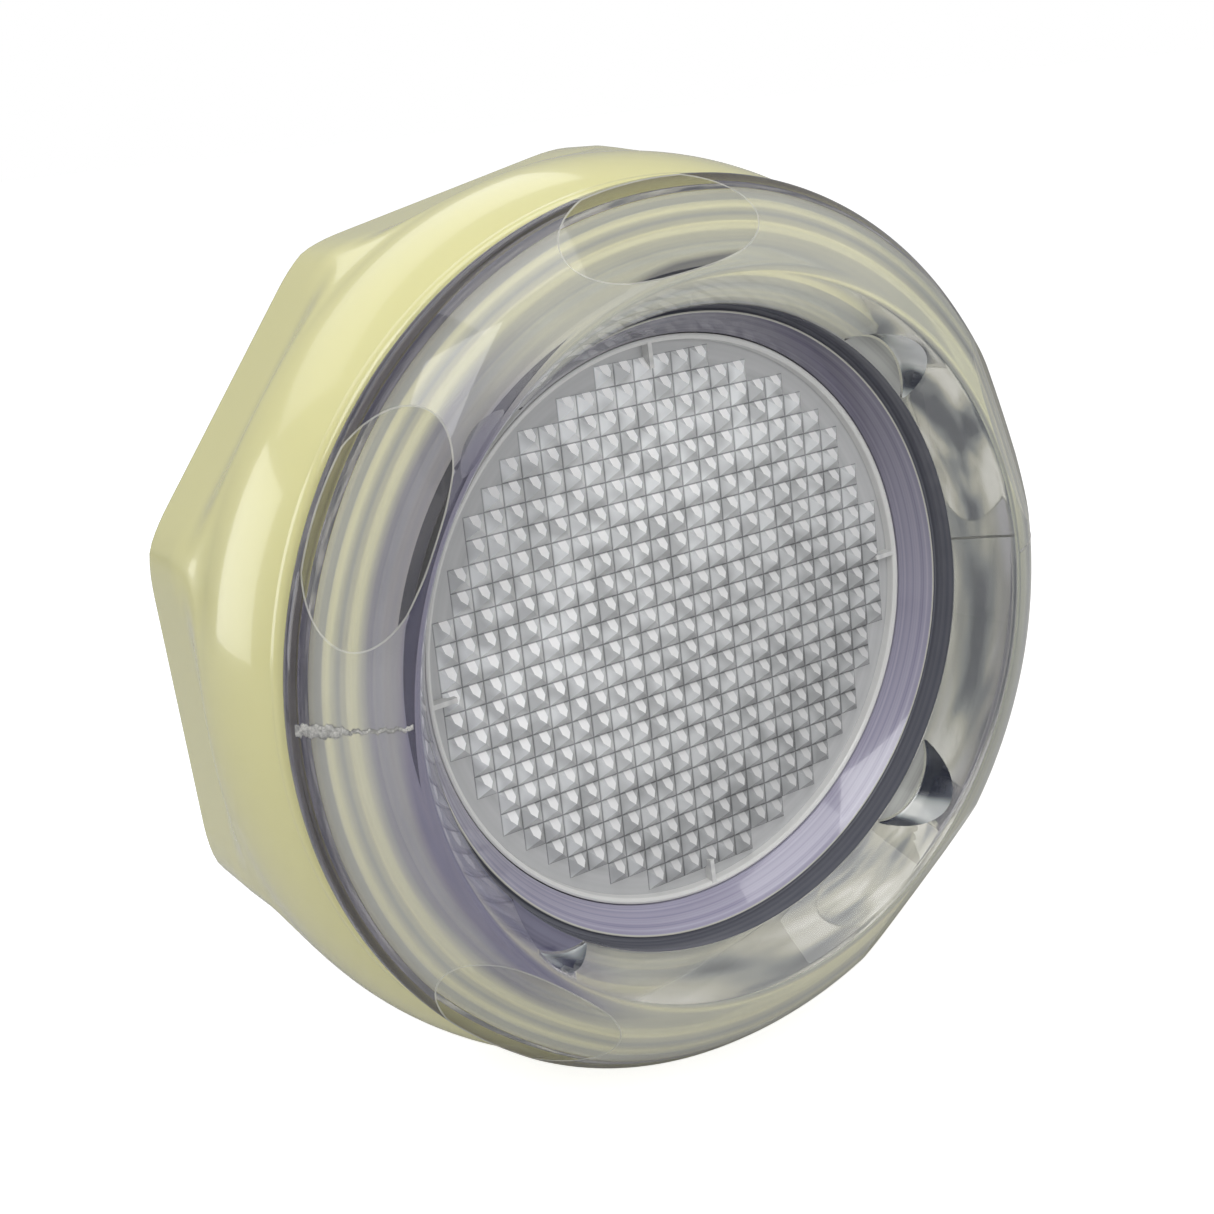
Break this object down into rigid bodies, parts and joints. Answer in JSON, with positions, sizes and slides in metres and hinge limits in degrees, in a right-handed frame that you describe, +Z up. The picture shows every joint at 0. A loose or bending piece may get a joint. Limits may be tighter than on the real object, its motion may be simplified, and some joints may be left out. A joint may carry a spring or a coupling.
{
  "type": "underwater pool light",
  "caption": "Round recessed spa light: clear bulged flange with spanner notches, prismatic lens, ivory lock nut behind the wall and a pull-out rear lamp carrier with cable gland.",
  "frame": {"origin": "centre of the flange's rear face, where the light meets the wall", "axes": "+Y along the light's axis from the water side to the dry side, +Z up, +X to the right when the lens is seen from the water"},
  "size_m": [0.1329, 0.1058, 0.1325],
  "materials": {
    "clear_shell": "polished clear polycarbonate",
    "prismatic_lens": "clear moulded prisms",
    "clear_silicone": "satin",
    "gasket_rubber": "satin",
    "white_plastic": "satin",
    "ivory_plastic": "glossy moulded",
    "black_plastic": "fine moulded grain",
    "reflector_chrome": "bright metallised plastic",
    "stainless": "bright",
    "black_rubber": "satin",
    "holder_plastic": "satin",
    "brass": "satin",
    "lamp_glass": "clear",
    "filament": "drawn wire",
    "gland_plastic": "satin",
    "wire_jacket": "satin"
  },
  "bodies": {
    "lens_body": {"lens_housing": "clear_shell", "prismatic_lens": "prismatic_lens", "lens_seal": "clear_silicone", "wall_gasket": "gasket_rubber"},
    "slip_washer": {"slip_washer": "white_plastic"},
    "lock_nut": {"lock_nut": "ivory_plastic"},
    "lamp_carrier": {"rear_cover": "black_plastic", "reflector": "reflector_chrome", "cover_screws": "stainless", "carrier_o_rings": "black_rubber", "lamp_holder": "holder_plastic", "holder_contacts": "brass", "gland_body": "gland_plastic", "gland_gasket": "black_rubber", "gland_locknut": "gland_plastic", "terminal_block": "white_plastic", "terminal_screws": "brass", "lead_wires": "wire_jacket"},
    "lamp": {"lamp_glass": "lamp_glass", "lamp_base": "lamp_glass", "lamp_filament": "filament", "lamp_supports": "filament"},
    "gland_clamp": {"gland_clamp": "black_rubber"},
    "gland_nut": {"gland_nut": "gland_plastic"}
  },
  "joints": [
    {"name": "nut_travel", "type": "slide", "parent": "lens_body", "child": "slip_washer", "axis": [0, 1, 0], "range_m": [0, 0.012]},
    {"name": "nut_spin", "type": "hinge", "parent": "slip_washer", "child": "lock_nut", "pos_m": [0, 0.0217, 0], "axis": [0, 1, 0], "range_deg": [0, 864]},
    {"name": "carrier_pull", "type": "slide", "parent": "lens_body", "child": "lamp_carrier", "axis": [0, 1, 0], "range_m": [0, 0.05]},
    {"name": "lamp_pull", "type": "slide", "parent": "lamp_carrier", "child": "lamp", "axis": [0, -1, 0], "range_m": [0, 0.009]},
    {"name": "gland_clamp_slide", "type": "slide", "parent": "lamp_carrier", "child": "gland_clamp", "axis": [0, 1, 0], "range_m": [0, 0.006]},
    {"name": "gland_nut_spin", "type": "hinge", "parent": "gland_clamp", "child": "gland_nut", "pos_m": [0, 0.0894, 0], "axis": [0, 1, 0], "range_deg": [0, 1440]}
  ],
  "couplings": [
    {"joint": "nut_spin", "follows": "nut_travel", "rad_per_m": 1256.6},
    {"joint": "gland_nut_spin", "follows": "gland_clamp_slide", "rad_per_m": 4188.8}
  ]
}
